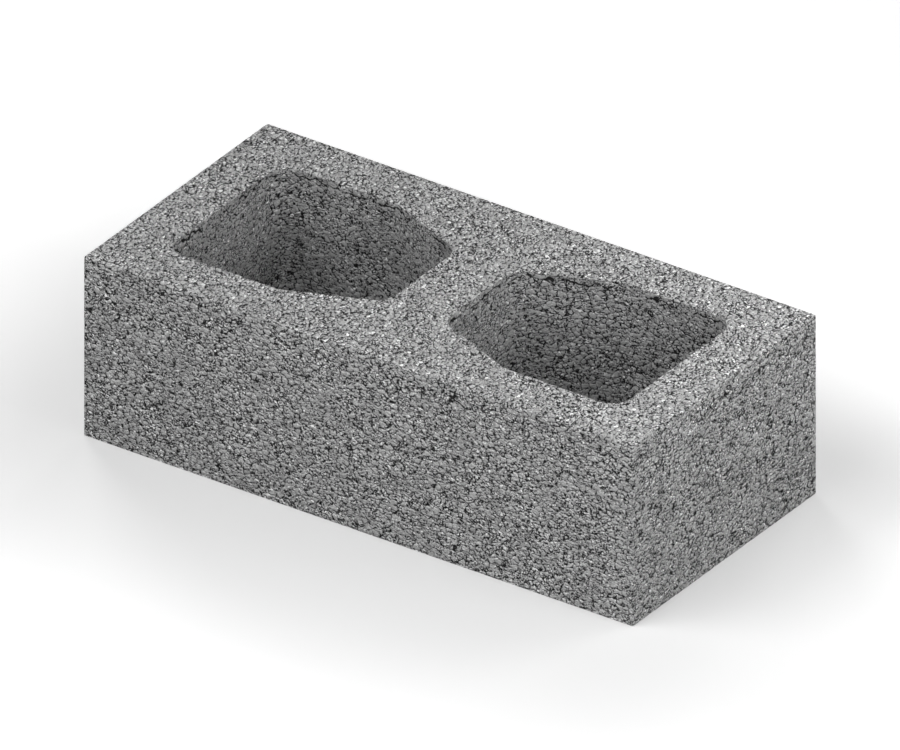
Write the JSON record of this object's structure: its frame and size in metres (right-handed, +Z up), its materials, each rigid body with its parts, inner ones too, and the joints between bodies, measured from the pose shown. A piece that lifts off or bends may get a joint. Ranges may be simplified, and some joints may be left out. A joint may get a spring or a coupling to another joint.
{
  "type": "concrete block",
  "caption": "Low hollow concrete masonry block with flat ends, thick face shells and open cores that narrow towards a solid centre web.",
  "frame": {"origin": "middle of the bottom bed, on the underside of the centre web", "axes": "+X along the block's length, +Y across the wall's thickness, +Z up as the block is laid"},
  "size_m": [0.397, 0.1914, 0.123],
  "materials": {
    "concrete": "matte"
  },
  "bodies": {
    "root": {"concrete_block": "concrete"}
  },
  "joints": []
}
